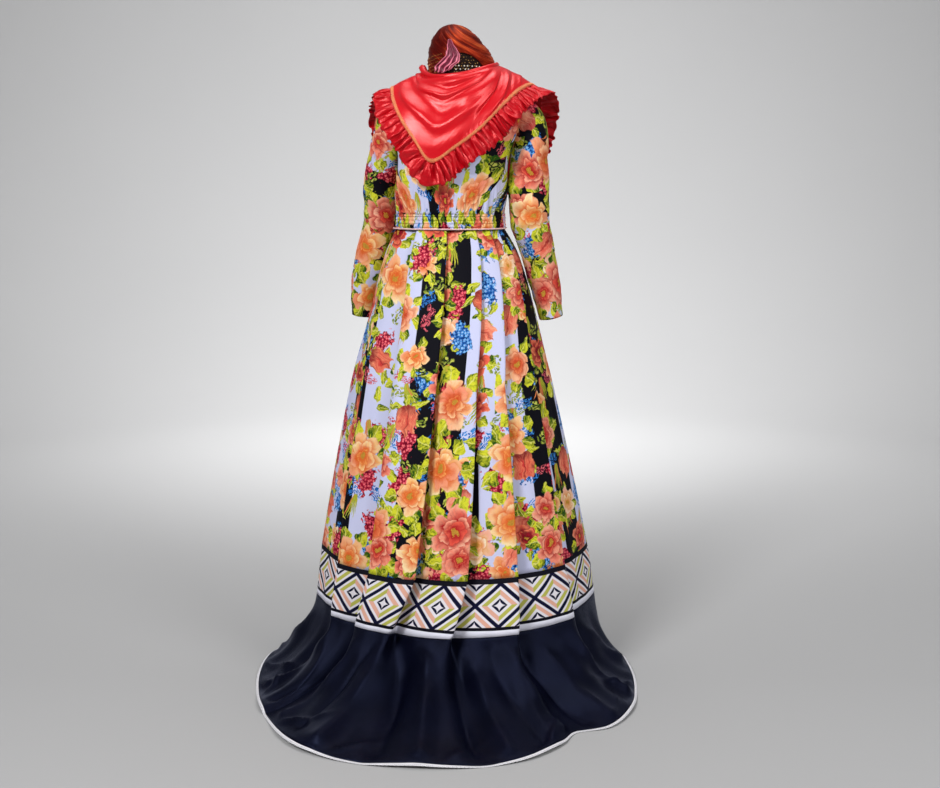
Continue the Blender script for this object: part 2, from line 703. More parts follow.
def tulip(g, below, place, size, shift, first, second, chance, radius):
    """A half-open flower in profile: three tall, streaked petals on an egg shape, with two leaves."""
    local, a, b, c = scattered(g, place, size, shift)
    there = g.less(c, chance)
    turned = g.turned(local, g.madd(a, 3.0, -1.5))
    x, y = g.split(turned)
    low, swing = polar(g, g.join(x, g.add(y, radius * 0.9)), radius * 1.5, 0.25)
    below = leaf_ring(g, below, low, swing, b, 5, 0.1, 1.1, there, 0.20)
    up, side = g.div(y, radius * 1.3), g.div(x, radius)
    egg = g.sub(1.0, g.add(g.mul(up, up), g.mul(g.mul(side, side), g.madd(up, 0.4, 1.3))))
    petal = g.abs(g.sin(g.madd(side, 3.7, g.mul(up, 0.5))))
    cut = g.madd(petal, -0.30, g.sub(0.92, up))
    mask = g.edge(g.min(egg, cut), 0.06)
    streak = g.noise(g.join(g.mul(side, 3.4), g.mul(up, 0.8), b), 2.6, 4, 0.65)
    dark, mid, light = palette(g, b, first, second)
    tone = g.madd(egg, -0.5, g.madd(streak, 2.0, -0.35), clamp=True)
    color = g.mix(tone, mid, light)
    fold = g.pow(g.sub(1.0, petal), 5.0)
    color = g.mix(g.mul(fold, 0.85), color, dark)
    root = g.edge(g.sub(g.mul(streak, -0.6), g.add(up, 0.25)), 0.5)
    return lay(g, below, g.mix(g.mul(root, 0.8), color, dark), g.mul(mask, there))


def lilac(g, below, place, size, shift, first, second, chance, radius):
    """A dense head of small florets, lit from above."""
    local, a, b, c = scattered(g, place, size, shift, 0.6, 0.030)
    there = g.less(c, chance)
    x, y = g.split(g.turned(local, g.madd(a, 1.6, -0.8)))
    far = g.vector("LENGTH", g.join(g.div(x, radius * 0.70), g.div(y, radius * 1.25)), out=1)
    near, tint, centre = g.cells(place, 0.0070, 0.9)
    tone, pick, spin = g.split_color(tint)
    edge = g.edge(g.sub(g.madd(pick, 0.60, 0.62), far), 0.10)
    dx, dy = g.split(g.vector("SUBTRACT", place, centre))
    lobes = g.sin(g.madd(g.arctan2(dy, dx), 4.0, g.mul(spin, 6.0)))
    floret = g.edge(g.sub(g.madd(lobes, 0.10, 0.44), near), 0.12)
    dark, mid, light = palette(g, g.more(b, 0.45), first, second)
    shade = g.madd(g.noise(local, 70, 2), 2.4, -0.75, clamp=True)
    color = g.mix(g.madd(tone, 0.7, g.mul(shade, 0.5), clamp=True), mid, light)
    color = g.mix(floret, g.mix(shade, dark, mid), color)
    color = g.mix(g.mul(g.edge(g.sub(0.13, near), 0.06), shade), color, (1.0, 0.66, 0.50))
    return lay(g, below, color, g.mul(edge, there))


def spray(g, below, place, size, shift, colors, chance, radius, grain):
    """Small loose leaves or blossoms on a sprig, with the ground showing between them."""
    local, a, b, c = scattered(g, place, size, shift, 0.7)
    there = g.less(c, chance)
    turned = g.turned(local, g.mul(a, 3.1))
    x, y = g.split(turned)
    bend = g.madd(g.sin(g.mul(y, 3.2 / radius)), radius * 0.18, x)
    far = g.vector("LENGTH", g.join(g.div(bend, radius * 0.5), g.div(y, radius)), out=1)
    near, tint, _ = g.cells(g.vector("MULTIPLY", turned, (1.5, 1.0, 0)), grain, 0.85)
    inside = g.sub(1.0, far)
    leaf = g.edge(g.min(g.sub(0.40, near), inside), 0.10)
    stem = g.min(g.sub(0.0007, g.abs(bend)), g.mul(inside, 0.01))
    tone, _, _ = g.split_color(tint)
    below = lay(g, below, colors[0], g.mul(g.edge(stem, 0.0006), there))
    return lay(g, below, g.mix(tone, colors[0], colors[1]), g.mul(leaf, there))


# %% The print as one node group that every floral piece shares
PEACH = ((0.42, 0.008, 0.015), (0.90, 0.20, 0.11), (1.0, 0.62, 0.42))
YELLOW = ((0.74, 0.12, 0.02), (0.97, 0.48, 0.13), (1.0, 0.86, 0.52))
CORAL = ((0.14, 0.001, 0.012), (0.62, 0.02, 0.03), (1.0, 0.36, 0.16))
CREAM = ((0.78, 0.30, 0.07), (0.96, 0.68, 0.34), (1.0, 0.94, 0.76))
CRIMSON = ((0.05, 0.0, 0.008), (0.44, 0.005, 0.035), (0.92, 0.12, 0.17))
BLUE = ((0.002, 0.012, 0.10), (0.010, 0.12, 0.48), (0.18, 0.52, 0.95))
ROSE = ((0.45, 0.03, 0.07), (0.85, 0.20, 0.22))
LIME = ((0.08, 0.15, 0.01), (0.60, 0.62, 0.11))
SKY = ((0.012, 0.08, 0.36), (0.06, 0.32, 0.78))


def make_print_group():
    tree = bpy.data.node_groups.new("flower print", "ShaderNodeTree")
    tree.interface.new_socket("Place", in_out="INPUT", socket_type="NodeSocketVector")
    tree.interface.new_socket("Color", in_out="OUTPUT", socket_type="NodeSocketColor")
    g = Graph(tree)
    place = tree.nodes.new("NodeGroupInput").outputs[0]
    x, _ = g.split(place)
    stripe = g.abs(g.wrap(x, 0.080, -0.080))
    black = g.edge(g.sub(stripe, 0.041), 0.0006)
    color = g.mix(black, (0.62, 0.64, 0.88), (0.0030, 0.0028, 0.0065))
    layers = [
        lambda *a: spray(*a, 0.054, (0.013, 0.031), LIME, 0.38, 0.026, 0.0100),
        lambda *a: spray(*a, 0.080, (0.231, 0.117), SKY, 0.55, 0.025, 0.0070),
        lambda *a: spray(*a, 0.110, (0.512, 0.377), ROSE, 0.40, 0.026, 0.0065),
        lambda *a: blades(*a, 0.105, (0.377, 0.291), 0.60, 0.042),
        lambda *a: leaves(*a, 0.090, (0.733, 0.641), 0.44, 0.042),
        lambda *a: peony(*a, 0.112, (0.309, 0.047), CREAM, YELLOW, 0.48, 0.038),
        lambda *a: lilac(*a, 0.100, (0.417, 0.171), BLUE, CRIMSON, 0.66, 0.031),
        lambda *a: tulip(*a, 0.124, (0.093, 0.207), CORAL, PEACH, 0.40, 0.029),
        lambda *a: peony(*a, 0.120, (0.640, 0.873), CORAL, PEACH, 0.42, 0.036),
        lambda *a: peony(*a, 0.136, (0.173, 0.509), YELLOW, PEACH, 0.43, 0.051),
    ]
    for layer in layers:
        color = layer(g, color, place)
        place = g.vector("MULTIPLY_ADD", color, (1e-9, 1e-9, 1e-9), place)
    out = tree.nodes.new("NodeGroupOutput")
    tree.links.new(color, out.inputs[0])
    return tree


flower_print = make_print_group()
print("nodes in the print:", len(flower_print.nodes))


# %% [markdown]
# Printed cotton is matt with a fine plain weave. It reflects little, so its dyes stay deep, and the
# weave is a bump about half a millimetre across. A sleeve is cut with the stripes running round
# the arm, so its copy of the finish swaps the two directions.

# %% Floral cotton
def floral_cotton(name, turned=False, shift=(0.0, 0.0)):
    material, g, shader = new_finish(name, 0.62, gloss=0.08)
    u, v = g.split(g.uv())
    place = g.join(v, u) if turned else g.join(u, v)
    place = g.vector("ADD", place, (*shift, 0))
    group = g.tree.nodes.new("ShaderNodeGroup")
    group.node_tree = flower_print
    g.tree.links.new(place, group.inputs[0])
    slubs = g.noise(g.uv(), 420, 2)
    color = g.mix(g.mul(slubs, 0.10), group.outputs[0], (0.0, 0.0, 0.0))
    g.tree.links.new(color, shader.inputs["Base Color"])
    bump(g, shader, weave_height(g, g.uv(), 0.0006), 0.0001, 0.5)
    return material


skirt_cotton = floral_cotton("floral cotton")
bodice_cotton = floral_cotton("floral cotton, bodice", shift=(0.61, 0.13))


# %% [markdown]
# ### The border and the plain hem
# The border is printed with nested diamonds: the sum of the distances across and down, measured from
# a diamond's middle, gives the same number all along one diamond ring, so bands of that number are
# the nested lines. The cloth below it is plain navy, and so dark that only its gloss shows the folds.

# %% Border and hem finishes
DIAMOND = 0.108  # one repeat across
PATTERN_TOP, PATTERN_FOOT, LINE_FOOT = 0.011, 0.104, 0.1110


def border_cotton():
    material, g, shader = new_finish("border cotton", 0.62, gloss=0.08)
    u, v = g.split(g.uv())
    half_high = (PATTERN_FOOT - PATTERN_TOP) / 2
    x = g.abs(g.div(g.wrap(u, DIAMOND / 2, -DIAMOND / 2), DIAMOND / 2))
    y = g.div(g.sub(v, PATTERN_TOP + half_high), half_high)
    lime_side = g.more(g.mul(g.wrap(u, DIAMOND / 2, -DIAMOND / 2), y), 0.0)
    y = g.abs(y)
    whole = g.add(x, y)
    outer = g.more(whole, 1.0)
    ring = g.min(whole, g.sub(2.0, whole))
    near_x = g.abs(g.sub(x, outer))
    near_y = g.abs(g.sub(y, outer))
    star = g.add(g.pow(near_x, 0.6), g.pow(near_y, 0.6))
    cream, navy = (0.84, 0.80, 0.86), (0.004, 0.005, 0.030)
    stripe = g.mix(lime_side, (0.82, 0.44, 0.33), (0.52, 0.51, 0.10))
    color = cream
    for start, end, tint in ((-1, 0.33, navy), (0.50, 0.74, stripe), (0.885, 1.2, navy)):
        band = g.min(g.sub(ring, start), g.sub(end, ring))
        color = g.mix(g.edge(band, 0.02), color, tint)
    color = g.mix(g.edge(g.sub(0.46, star), 0.04), color, cream)
    line = g.max(g.sub(PATTERN_TOP, v), g.sub(v, PATTERN_FOOT))
    color = g.mix(g.edge(line, 0.0006), color, (0.004, 0.004, 0.010))
    color = g.mix(g.edge(g.sub(v, LINE_FOOT), 0.0006), color, (0.88, 0.88, 1.0))
    slubs = g.noise(g.uv(), 420, 2)
    color = g.mix(g.mul(slubs, 0.10), color, (0.0, 0.0, 0.0))
    g.tree.links.new(color, shader.inputs["Base Color"])
    bump(g, shader, weave_height(g, g.uv(), 0.0006), 0.0001, 0.5)
    return material


def navy_cotton():
    material, g, shader = new_finish("navy cotton", 0.40, gloss=0.18, gloss_tint=(0.50, 0.60, 1.0, 1), metal=0.30)
    cloudy = g.noise(g.uv(), 14, 3)
    slubs = g.noise(g.vector("MULTIPLY", g.uv(), (1, 0.15, 1)), 900, 2)
    color = g.mix(g.mul(cloudy, slubs), (0.0006, 0.0007, 0.0032), (0.0070, 0.0085, 0.0310))
    g.tree.links.new(color, shader.inputs["Base Color"])
    rough = g.madd(cloudy, 0.14, 0.27)
    g.tree.links.new(rough, shader.inputs["Roughness"])
    bump(g, shader, weave_height(g, g.uv(), 0.0007), 0.00012, 0.6)
    return material


border_finish, navy_finish = border_cotton(), navy_cotton()

# %% Sew the skirt, the border and the hem
GORES = ("back_left", "back_right", "side_right", "front_right", "front_left", "side_left")
joined = np.concatenate([skirt_levels, border_levels, hem_levels])
all_rows, all_across = skirt_rows(joined)
parts = np.split(np.arange(len(joined)), [len(skirt_levels), len(skirt_levels) + len(border_levels)])


def skirt_tier(name, rows, finish, down, replaced):
    grid, across = all_rows[rows], all_across[rows]
    uv = np.stack([across, np.broadcast_to(down[:, None], across.shape)], axis=-1)
    piece = cloth(name, grid, uv, finish, thick=1.1, wraps=True)
    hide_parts(*[f"{replaced}_{gore}" for gore in GORES])
    return piece


slant = 1.03
skirt = skirt_tier(
    "pleated_skirt", parts[0], skirt_cotton, (WAIST - skirt_levels) * slant * MM, "skirt",
)
border = skirt_tier(
    "skirt_border", parts[1], border_finish, (BORDER_TOP - border_levels) * MM, "border",
)
hem_down = lengths_along(all_rows[parts[2]], 0)[:, 0]
hem = skirt_tier("train_hem", parts[2], navy_finish, hem_down, "hem")

# %% [markdown]
# ## The bodice and the shirred waist
# The bodice is a close tube round the trunk. At the small of the back it is drawn in by a strip of
# shirring: rows of elastic thread pull the cloth into short upright puckers, and soft gathers fan out
# of it up the back. Both are small, regular movements of the cloth, so they are added to the trunk's
# own sections as waves, and the armholes are left open where the sleeves begin.

# %% The trunk, its gathers and its shirring
torso = table(
    "height half_width back front centre",
    (1050, 128, 97, 97, -26),
    (1082, 127, 99, 99, -26),
    (1130, 131, 106, 110, -23),
    (1180, 129, 112, 124, -19),
    (1225, 134, 111, 121, -16),
    (1265, 152, 104, 108, -12),
    (1300, 167, 92, 93, -6),
    (1322, 170, 80, 80, -3),
    (1338, 154, 71, 71, -1),
    (1352, 124, 65, 66, 0),
    (1364, 94, 61, 63, 0),
    (1380, 66, 57, 59, 0),
)
GATHERS, GATHER_DEPTH, GATHER_TOP, GATHER_REACH = 11, 3.0, 1190.0, 78.0
SHIRRS, ELASTIC_ROWS = 34, 4


def torso_point(height, angle, out=0.0):
    """Angles run from the centre back, 0, by the wearer's right side, 90, to the centre front, 180."""
    turn = np.radians(angle)
    wide, centre = look_up(torso, "half_width", height), look_up(torso, "centre", height)
    deep = np.where(np.cos(turn) > 0, look_up(torso, "back", height), look_up(torso, "front", height))
    return points(centre + (wide + out) * np.sin(turn), -(deep + out) * np.cos(turn), height)


def gathers(height, angle):
    fade = ease((GATHER_TOP - height) / (GATHER_TOP - SHIRRING_TOP))
    turn = (angle + GATHER_REACH) / (2 * GATHER_REACH) * GATHERS
    uneven = 0.75 + 0.25 * np.sin(2.3 * np.floor(turn) + 1)
    pinched = lambda t: 1.6 * np.abs(np.sin(np.pi * t)) ** 0.7 - 1.0
    coarse = GATHER_DEPTH * fade * uneven * pinched(turn + 0.25)
    near = ease((1165 - height) / 75)
    fine = 2.5 * near * pinched(2.7 * turn + 0.35 * np.sin(1.9 * turn) + 0.02 * (height - 1082) / 10)
    return (coarse + fine) * ease((GATHER_REACH - np.abs(angle)) / 6)


def soft_back(height, angle):
    """Shallow drapes of the bodice where it eases over the shoulder blades and under the arms."""
    a = np.radians(angle)
    up = ease((height - 1120) / 80) * ease((1330 - height) / 60)
    return up * (1.2 * np.sin(5 * a + height / 34) + 0.8 * np.sin(8 * a - height / 23 + 1))


bodice_turns = np.linspace(-180, 180, 433)[:-1]
bodice_heights = np.linspace(SHIRRING_TOP + 0.3, 1380, 52)
angle, height = np.meshgrid(bodice_turns, bodice_heights)
bodice_grid = torso_point(height, angle, gathers(height, angle) + soft_back(height, angle))
print("bodice, mm round the waist:", round(float(lengths_along(bodice_grid, 1)[0, -1] * 1000)))


# %% [markdown]
# ## The sleeves
# A sleeve is a tube along the arm. The arm's line bends at the elbow, and the cloth makes slanting
# creases there, which come from a few ridges placed by hand, each with its own height, turn, length
# and slant. The cloth is cut a little long, so soft rings of fullness stand above the cuff.

# %% The sleeves' tubes
sleeve_lines = {
    "left": table(
        "row x y z across deep",
        (0, -128, 0, 1320, 30, 40), (1, -154, 3, 1301, 40, 50), (2, -161, 11, 1262, 42, 52),
        (3, -180, 25, 1205, 38, 49), (4, -187, 47, 1140, 42, 48), (5, -192, 71, 1065, 43, 46),
        (6, -212, 89, 985, 41, 44), (7, -230, 100, 905, 36, 39), (8, -237, 106, 836, 32, 35),
    ),
    "right": table(
        "row x y z across deep",
        (0, 120, 0, 1320, 30, 40), (1, 148, -3, 1301, 40, 50), (2, 158, -5, 1262, 43, 53),
        (3, 158, -5, 1205, 42, 52), (4, 158, -2, 1140, 47, 50), (5, 162, 6, 1065, 47, 47),
        (6, 183, 18, 985, 38, 44), (7, 202, 27, 905, 33, 38), (8, 215, 32, 838, 30, 34),
    ),
}
sleeve_creases = {  # row down the arm, turn round it, its reach along and round, height in mm, slant
    "left": [
        (4.6, 200, 0.16, 80, 3.4, 0.5), (5.0, 230, 0.14, 70, 3.6, -0.4), (5.35, 170, 0.15, 75, 3.0, 0.6),
        (4.2, 300, 0.18, 80, 2.6, -0.6), (5.8, 260, 0.2, 90, 2.2, 0.5), (3.2, 220, 0.25, 90, 2.4, 0.7),
        (6.6, 210, 0.2, 100, 2.2, -0.4), (7.4, 250, 0.14, 120, 1.8, 0.2), (2.6, 330, 0.22, 80, 2.2, -0.6),
        (6.9, 60, 0.2, 90, 2.0, 0.4), (4.9, 60, 0.15, 70, 2.8, 0.4), (3.8, 90, 0.2, 80, 2.2, -0.5),
    ],
    "right": [
        (4.5, 250, 0.16, 80, 3.2, -0.5), (4.95, 300, 0.14, 75, 3.6, 0.5), (5.4, 270, 0.16, 80, 3.0, -0.4),
        (3.9, 320, 0.2, 80, 2.4, 0.6), (5.9, 240, 0.2, 90, 2.4, 0.5), (3.1, 290, 0.25, 90, 2.2, -0.7),
        (6.5, 300, 0.2, 95, 2.2, 0.3), (7.3, 260, 0.14, 120, 1.8, -0.2), (6.9, 110, 0.2, 90, 2.0, 0.5),
        (5.0, 120, 0.15, 70, 2.8, -0.4), (3.6, 100, 0.2, 80, 2.2, 0.4), (2.6, 200, 0.2, 80, 2.0, 0.5),
    ],
}


def sleeve_grid(side, rows=110, sides=56, grow=0.0):
    line = sleeve_lines[side]
    at = np.linspace(0, 8, rows)[:, None]
    turn = np.linspace(0, 2 * np.pi, sides + 1)[None, :-1]
    spot = {name: curve_through(line["row"], line[name], at) for name in ("x", "y", "z", "across", "deep")}
    middle = points(spot["x"], spot["y"], spot["z"])[:, 0]
    along = unit(np.gradient(middle, axis=0))
    front = np.array([0, 1.0, 0]) - along * along[:, 1:2]
    front = unit(front)
    sideways = unit(np.cross(front, along))
    crease = 2.2 * ease((at - 2) / 2) * np.cos(2 * turn + 1.9 * at)
    for row, where, reach, spread, height, slant in sleeve_creases[side]:
        off = (np.degrees(turn) - where + 180) % 360 - 180
        ridge = (at - row - slant * off / 90 * 0.35) / reach
        profile = np.exp(-(ridge**2)) - 0.5 * np.exp(-((ridge - 1.6) ** 2))
        crease = crease + height * profile * np.exp(-((off / spread) ** 2))
    swell = grow + crease
    return (
        middle[:, None]
        + sideways[:, None] * ((spot["across"] + swell) * np.cos(turn))[..., None]
        + front[:, None] * ((spot["deep"] + swell) * np.sin(turn))[..., None]
    )


def inside_trunk(spot, grow):
    """Which points, in metres from the shoulders, lie within the bodice's tube."""
    x, y, z = spot[..., 0] / MM, spot[..., 1] / MM, spot[..., 2] / MM + SHOULDER
    wide = look_up(torso, "half_width", z) + grow
    deep = np.where(y < 0, look_up(torso, "back", z), look_up(torso, "front", z)) + grow
    x = x - look_up(torso, "centre", z)
    return ((x / wide) ** 2 + (y / deep) ** 2 < 1) & (z < 1380)


def inside_sleeve(spot, side, grow):
    line = sleeve_lines[side]
    z = spot[..., 2] / MM + SHOULDER
    order = np.argsort(line["z"])
    at = lambda name: np.interp(z, line["z"][order], line[name][order])
    x, y = spot[..., 0] / MM - at("x"), spot[..., 1] / MM - at("y")
    return ((x / (at("across") + grow)) ** 2 + (y / (at("deep") + grow)) ** 2 < 1) & (z < 1320)


def level_uv(grid):
    """Metres round a tube, and its mean length down, so that the print's stripes run level."""
    uv = wrapped_uv(grid)
    uv[..., 1] = uv[:, :-1, 1].mean(axis=1, keepdims=True)
    uv[..., 0] *= uv[:, -1:, 0].mean() / uv[:, -1:, 0]
    return uv


def make_sleeve(side, shift):
    grid = sleeve_grid(side)
    finish = floral_cotton(f"floral cotton, {side} sleeve", turned=True, shift=shift)
    outside = lambda corners: ~inside_trunk(corners, -2.0).all(axis=1)
    piece = cloth(f"sleeve_{side}_cloth", grid, level_uv(grid), finish, thick=1.1, wraps=True, keep=outside)
    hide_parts(f"sleeve_{side}")
    return piece


def open_armholes(corners):
    taken = inside_sleeve(corners, "left", -3.0).all(axis=1) | inside_sleeve(corners, "right", -3.0).all(axis=1)
    return ~taken


def trunk_uv(heights, turns):
    """Flat cloth under a part of the trunk. The gathers take up as much again at the waist."""
    height, turn = np.meshgrid(heights, turns, indexing="ij")
    fullness = 1 + 1.0 * ease((GATHER_TOP - height) / (GATHER_TOP - SHIRRING_TOP))
    return np.stack([np.radians(turn) * 0.128 * fullness, (1380 - height) * MM], axis=-1)


bodice_uv = trunk_uv(bodice_heights, np.linspace(-180, 180, 433))
bodice = cloth("gown_bodice", bodice_grid, bodice_uv, bodice_cotton, thick=1.1, wraps=True, keep=open_armholes)
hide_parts("bodice_back", "bodice_front")
left_sleeve = make_sleeve("left", (0.045, 0.31))
right_sleeve = make_sleeve("right", (0.010, 0.52))

# %% [markdown]
# The waist strip is shirred only across the back. Four rows of elastic cross thirty-odd puckers, and
# the cloth is pinched in at each row and puffs out between two rows.

# %% The waist strip and its piping
band_heights = np.linspace(WAIST + 0.2, SHIRRING_TOP + 1.2, 41)
band_turns = np.linspace(-180, 180, 541)[:-1]
angle, height = np.meshgrid(band_turns, band_heights)
rows_of_elastic = (height - WAIST) / (SHIRRING_TOP - WAIST) * ELASTIC_ROWS
puff = 0.45 + 0.55 * np.abs(np.sin(np.pi * rows_of_elastic))
wander = 0.18 * np.sin(rows_of_elastic * 2.2 + angle / 5)
pucker_turn = (angle + 90) / 180 * SHIRRS + 0.25 * np.sin(angle / 9) + wander
shirr = puff * (0.5 + 0.5 * np.cos(2 * np.pi * pucker_turn)) * ease((90 - np.abs(angle)) / 4)
between_rows = np.abs((rows_of_elastic - 0.45) % 1.0 - 0.5) * 2
pinch = -3.2 * np.exp(-((1 - between_rows) / 0.24) ** 2) * ease((90 - np.abs(angle)) / 4)
band_grid = torso_point(height, angle, 1.6 + pinch + 2.2 * shirr)
band_uv = trunk_uv(band_heights, np.linspace(-180, 180, 541))
waistband = cloth("shirred_waistband", band_grid, band_uv, bodice_cotton, thick=1.0, wraps=True)
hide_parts("waistband_back", "waistband_front")


def tube(name, line, radius, finish, sides=8, closed=True, swell=None):
    """A round cord along a line of points in millimetres."""
    along = np.roll(line, -1, axis=0) - np.roll(line, 1, axis=0) if closed else np.gradient(line, axis=0)
    along = unit(along)
    up = unit(np.cross(along, np.cross(np.array([0.13, 0.21, 1.0]), along)))
    aside = np.cross(along, up)
    turn = np.linspace(0, 2 * np.pi, sides + 1)[:-1]
    size = radius if swell is None else radius * swell[:, None]
    ring = (np.cos(turn) * size)[..., None] * up[:, None] + (np.sin(turn) * size)[..., None] * aside[:, None]
    grid = line[:, None] + ring
    if closed:
        grid = np.concatenate([grid, grid[:1]])
    return cloth(name, grid, wrapped_uv(grid), finish, thick=0, wraps=True)


def trim_cotton(name, color, deep, rough=0.6, pitch=0.0011):
    """Cord or tape with fine slanting yarns."""
    material, g, shader = new_finish(name, rough, sheen=0.2)
    u, v = g.split(g.uv())
    yarn = g.sin(g.mul(g.add(u, v), 6.283 / pitch))
    patchy = g.noise(g.uv(), 60, 3)
    tint = g.mix(g.madd(yarn, 0.25, g.mul(patchy, 0.9)), deep, color)
    g.tree.links.new(tint, shader.inputs["Base Color"])
    bump(g, shader, yarn, 0.0002, 0.6)
    return material


piping_turns = np.linspace(0, 360, 241)[:-1]
piping_line = torso_point(np.full(240, WAIST - 0.1), piping_turns, 4.0)
piping_finish = trim_cotton("pink satin cord", (0.93, 0.68, 0.68), (0.80, 0.45, 0.47), 0.4)
piping = tube("waist_cord", piping_line, 1.7, piping_finish, sides=10)
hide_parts("waist_piping")

# %% [markdown]
# ## The foulard
# The foulard is a square of satin folded to a triangle and laid round the shoulders, with the point on
# the back. Its long edge is rolled at the neck, and the slack below it hangs in cowl folds, which are
# long curved ridges: round and full on top, with a sharp valley under each. Satin is stiff enough to
# hold such folds, so they are drawn as ridges by hand rather than dropped by a solver, which would
# also move the foulard off the shoulders it was fitted to.

# %% The foulard's edge, neck and folds
foulard_edge = table(
    "turn x y z neck",
    (-179.6, -1, 154, 1116, 1384), (-152, -90, 146, 1164, 1388), (-128, -154, 122, 1232, 1396),
    (-106, -176, 72, 1314, 1406), (-88, -164, 4, 1368, 1410), (-68, -157, -50, 1338, 1398),
    (-50, -138, -94, 1295, 1393), (-32, -106, -116, 1246, 1392), (-14, -68, -126, 1197, 1393),
    (6, -12, -128, 1228, 1397), (26, 43, -123, 1269, 1405), (48, 99, -98, 1325, 1414),
    (68, 138, -54, 1360, 1420), (88, 174, 4, 1372, 1424), (106, 190, 62, 1318, 1416),
    (128, 168, 112, 1238, 1402), (152, 92, 146, 1164, 1390), (179.6, 1, 154, 1116, 1384),
)
NECK_WIDE, NECK_DEEP, NECK_Y = 78.0, 87.0, 10.0
BULGE, COLLAR_ROLL, BRAID_WIDE = 24.0, 9.0, 10.0
satin_folds = [  # height in mm (a valley is negative), width, then the fold's line: turn, share of the way down
    (5.0, 0.070, (-30, 0.06), (-10, 0.07), (15, 0.08), (36, 0.05), (60, 0.0)),
    (-6.0, 0.070, (-70, 0.20), (-44, 0.18), (-18, 0.16), (8, 0.14), (26, 0.12), (44, 0.05)),
    (5.0, 0.045, (-66, 0.34), (-44, 0.29), (-26, 0.26), (-11, 0.24), (6, 0.22), (25, 0.19), (40, 0.10), (54, 0.02)),
    (-3.5, 0.040, (-50, 0.35), (-26, 0.32), (-8, 0.30), (10, 0.275), (30, 0.23), (46, 0.13)),
    (5.5, 0.120, (-6, 0.42), (16, 0.38), (32, 0.34), (48, 0.26), (62, 0.14)),
    (-9.0, 0.130, (-96, 0.44), (-70, 0.46), (-50, 0.46), (-30, 0.44), (-8, 0.46), (14, 0.50)),
    (8.0, 0.090, (-90, 0.60), (-64, 0.64), (-44, 0.62), (-24, 0.60), (-8, 0.60), (10, 0.59), (24, 0.55), (40, 0.46)),
    (2.5, 0.090, (-30, 0.84), (-10, 0.82), (4, 0.84), (18, 0.84)),
    (-6.5, 0.050, (18, 0.80), (24, 0.74), (33, 0.69), (44, 0.60), (54, 0.42), (64, 0.22)),
    (5.5, 0.065, (24, 0.90), (36, 0.84), (48, 0.76), (58, 0.56), (68, 0.36), (80, 0.2)),
    (-4.0, 0.050, (54, 0.90), (64, 0.66), (76, 0.45), (90, 0.3)),
    (4.0, 0.060, (66, 0.92), (78, 0.62), (94, 0.45), (108, 0.4)),
    (-5.0, 0.050, (-96, 0.24), (-82, 0.25), (-66, 0.29), (-54, 0.34)),
    (4.5, 0.060, (-100, 0.14), (-84, 0.13), (-66, 0.16)),
    (3.5, 0.060, (-128, 0.42), (-108, 0.36), (-90, 0.30)), (-3.0, 0.060, (-130, 0.54), (-108, 0.5), (-88, 0.6)),
    (4.0, 0.070, (-176, 0.30), (-150, 0.36), (-120, 0.56)), (-3.5, 0.060, (-172, 0.46), (-150, 0.5), (-124, 0.74)),
    (4.0, 0.070, (112, 0.30), (138, 0.36), (172, 0.30)), (-3.5, 0.060, (104, 0.48), (140, 0.50), (172, 0.44)),
    (4.0, 0.080, (100, 0.70), (130, 0.64), (170, 0.66)), (3.5, 0.080, (-170, 0.70), (-140, 0.70), (-120, 0.80)),
]


def outward(turn):
    return points(np.sin(np.radians(turn)), -np.cos(np.radians(turn)), 0.0)


def folds_out(turn, v):
    total = np.zeros(np.broadcast(turn, v).shape)
    for height, width, *knots in satin_folds:
        turns, shares = np.array(knots).T
        line = np.interp(turn, turns, shares)
        run = turns[-1] - turns[0]
        fade = ease((turn - turns[0]) / (0.28 * run)) * ease((turns[-1] - turn) / (0.28 * run))
        total = total + height * fade * np.exp(-(((v - line) / width) ** 2))
    pulled = ease((v - 0.84) / 0.14) * ease((turn + 12) / 20) * ease((70 - turn) / 12)
    total = total + 1.6 * pulled * np.sin(1.15 * turn + 1.5 * np.sin(0.31 * turn))
    return total * ease((1.08 - v) / 0.16)


def neck_point(turn, out, up, rolled=True):
    """The rolled edge at the neck. It stands up in a knob on the left, where the roll is folded over."""
    knob = np.exp(-(((np.asarray(turn) + 86) / 27.0) ** 2)) if rolled else 0.0
    level = look_up(foulard_edge, "neck", turn) - 15 + (up + 15) * (1 + 0.5 * knob)
    way = outward(turn)
    wide = out * (1 + 0.9 * knob)
    return points((NECK_WIDE + wide) * way[..., 0], NECK_Y + (NECK_DEEP + wide) * way[..., 1], level)


def foulard_point(turn, v, relief=1.0):
    turn, v = np.broadcast_arrays(turn, v)
    neck = neck_point(turn, COLLAR_ROLL, -4, rolled=False)
    edge = np.stack([look_up(foulard_edge, name, turn) for name in "xyz"], axis=-1)
    bulge = (BULGE * lerp(0.2, 0.7, np.cos(np.radians(turn)) ** 2))[..., None]
    control = (neck + edge) / 2 + outward(turn) * bulge + np.array([0, 0, 1.0]) * bulge
    v = v[..., None]
    flat = neck * (1 - v) ** 2 + control * 2 * v * (1 - v) + edge * v**2
    return flat + outward(turn) * (relief * folds_out(turn, v[..., 0]))[..., None]


